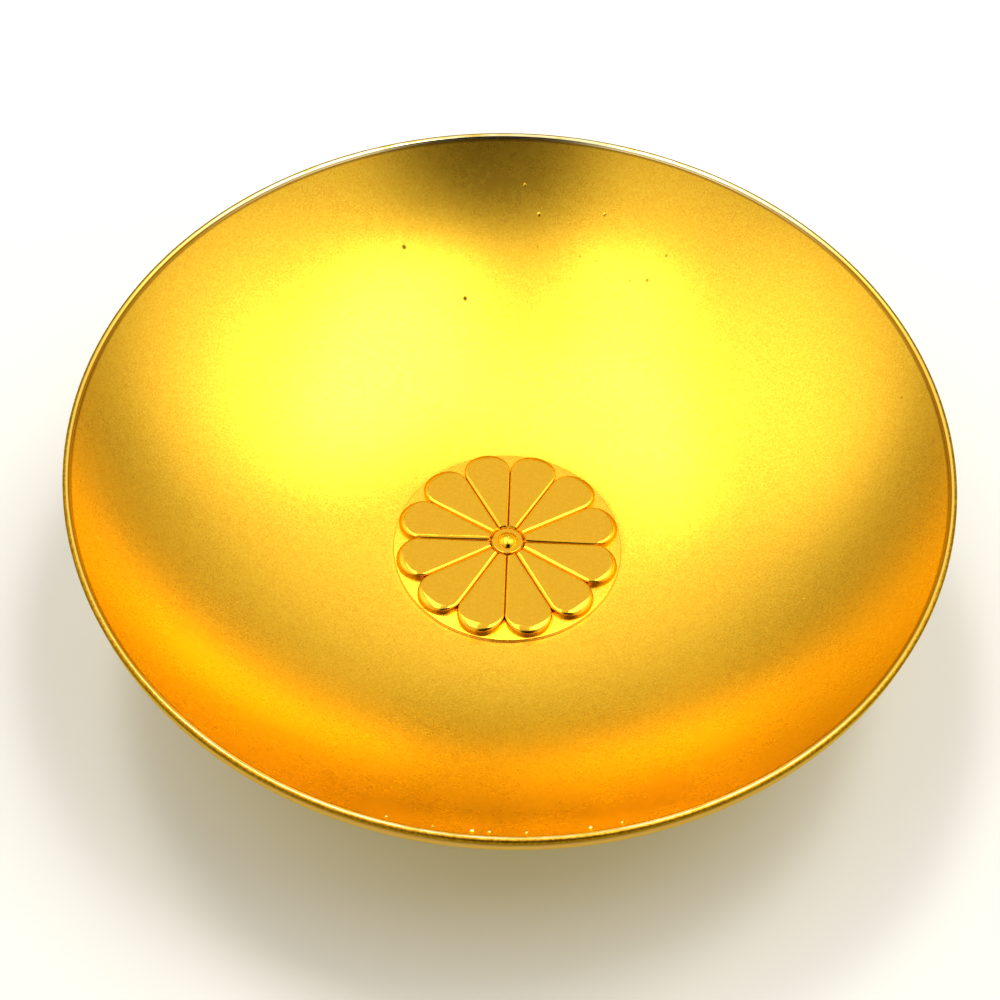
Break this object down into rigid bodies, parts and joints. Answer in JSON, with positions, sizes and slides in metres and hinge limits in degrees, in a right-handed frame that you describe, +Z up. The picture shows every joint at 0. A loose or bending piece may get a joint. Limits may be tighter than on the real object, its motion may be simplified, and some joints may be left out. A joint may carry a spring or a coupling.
{
  "type": "sakazuki sake cup",
  "caption": "Shallow gilt metal sake cup: a wide satin bowl with a polished lip, a raised flower rosette soldered to its floor and a flared ring foot",
  "frame": {"origin": "centre of the foot's base, on the table", "axes": "+Z up along the cup's axis; +Y is the far side in the picture, -Y the side towards the viewer"},
  "size_m": [0.09, 0.09, 0.028],
  "materials": {
    "gilt_satin": "satin gilding with a fine grain",
    "gilt_polished": "polished gilding",
    "gilt_solder": "gilt solder, slightly rough"
  },
  "bodies": {
    "root": {"bowl": "gilt_satin", "rim_wire": "gilt_satin", "rim_solder": "gilt_solder", "rosette_disc": "gilt_satin", "rosette": "gilt_polished", "rosette_stud": "gilt_polished", "rosette_solder": "gilt_solder", "foot_ring": "gilt_satin", "foot_solder": "gilt_solder"}
  },
  "joints": []
}
